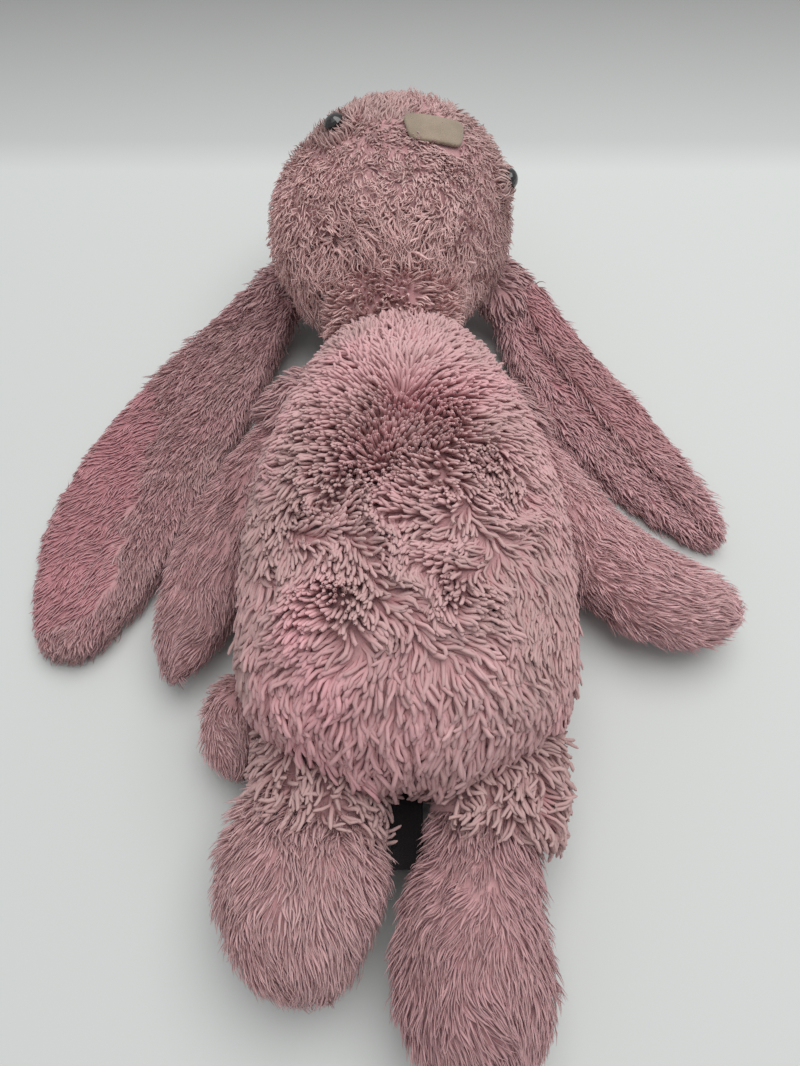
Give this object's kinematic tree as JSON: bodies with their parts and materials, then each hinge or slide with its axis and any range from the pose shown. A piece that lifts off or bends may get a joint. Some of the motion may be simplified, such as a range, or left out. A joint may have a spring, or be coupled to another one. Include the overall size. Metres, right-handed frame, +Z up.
{
  "type": "stuffed bunny rabbit",
  "caption": "Plush rabbit lying on its back, with long lined ears, floppy arms and legs and a round tail that move at their seams.",
  "frame": {"origin": "on the surface that the toy lies on, under the middle of its box", "axes": "+Z up out of the belly and face, +Y from the feet to the head, +X to the right as seen from above the feet"},
  "size_m": [0.2451, 0.3254, 0.0896],
  "materials": {
    "pink_plush": "dusty rose knitted plush with a thick matted yarn-like pile",
    "ear_lining_plush": "deeper rose short-pile plush",
    "suede": "taupe brushed microsuede",
    "black_plastic": "glossy black bead",
    "white_plastic": "natural white moulded plastic",
    "polyester_fibre": "white hollow-fibre filling",
    "pellet_pouch": "woven pouch filled with plastic pellets",
    "satin_label": "blank dark satin ribbon",
    "thread": "matt sewing thread"
  },
  "bodies": {
    "torso": {"body_front_panel": "pink_plush", "body_back_panel": "pink_plush", "body_stuffing": "polyester_fibre", "body_pellet_pouch": "pellet_pouch", "closing_stitch": "thread", "care_label": "satin_label"},
    "neck": {"neck_gather_thread": "thread"},
    "head": {"head_left_panel": "pink_plush", "head_right_panel": "pink_plush", "head_gusset": "pink_plush", "head_stuffing": "polyester_fibre", "nose_patch": "suede", "mouth_stitch": "thread", "left_eye": "black_plastic", "right_eye": "black_plastic", "left_eye_washer": "white_plastic", "right_eye_washer": "white_plastic"},
    "left_ear": {"left_ear_outer_panel": "pink_plush", "left_ear_lining": "ear_lining_plush"},
    "right_ear": {"right_ear_outer_panel": "pink_plush", "right_ear_lining": "ear_lining_plush"},
    "left_arm": {"left_arm_top_panel": "pink_plush", "left_arm_under_panel": "pink_plush", "left_arm_stuffing": "polyester_fibre"},
    "right_arm": {"right_arm_top_panel": "pink_plush", "right_arm_under_panel": "pink_plush", "right_arm_stuffing": "polyester_fibre"},
    "left_leg": {"left_leg_top_panel": "pink_plush", "left_leg_under_panel": "pink_plush", "left_leg_stuffing": "polyester_fibre"},
    "right_leg": {"right_leg_top_panel": "pink_plush", "right_leg_under_panel": "pink_plush", "right_leg_stuffing": "polyester_fibre"},
    "tail": {"tail_top_panel": "pink_plush", "tail_under_panel": "pink_plush", "tail_stuffing": "polyester_fibre"}
  },
  "joints": [
    {"name": "neck_turn", "type": "hinge", "parent": "torso", "child": "neck", "pos_m": [0.00269, 0.07133, 0.043], "axis": [0, 1, 0], "range_deg": [-20, 20]},
    {"name": "neck_nod", "type": "hinge", "parent": "neck", "child": "head", "pos_m": [0.00269, 0.07333, 0.043], "axis": [1, 0, 0], "range_deg": [-12, 25]},
    {"name": "left_ear_lift", "type": "hinge", "parent": "head", "child": "left_ear", "pos_m": [-0.04731, 0.10633, 0.016], "axis": [-0.9368, 0.3499, 0], "range_deg": [0, 45]},
    {"name": "right_ear_lift", "type": "hinge", "parent": "head", "child": "right_ear", "pos_m": [0.05269, 0.10733, 0.016], "axis": [-0.8518, -0.5239, 0], "range_deg": [0, 43]},
    {"name": "left_arm_lift", "type": "hinge", "parent": "torso", "child": "left_arm", "pos_m": [-0.03231, 0.04033, 0.023], "axis": [-0.6485, 0.2995, -0.6998], "range_deg": [0, 75]},
    {"name": "right_arm_lift", "type": "hinge", "parent": "torso", "child": "right_arm", "pos_m": [0.04469, 0.03733, 0.021], "axis": [-0.5537, -0.5517, 0.6237], "range_deg": [0, 75]},
    {"name": "left_leg_lift", "type": "hinge", "parent": "torso", "child": "left_leg", "pos_m": [-0.01631, -0.09567, 0.034], "axis": [-1, 0, 0], "range_deg": [0, 60]},
    {"name": "right_leg_lift", "type": "hinge", "parent": "torso", "child": "right_leg", "pos_m": [0.03069, -0.09567, 0.034], "axis": [-1, 0, 0], "range_deg": [0, 60]},
    {"name": "tail_wag", "type": "hinge", "parent": "torso", "child": "tail", "pos_m": [-0.04531, -0.07167, 0.013], "axis": [1, 0, 0], "range_deg": [-15, 15]}
  ]
}
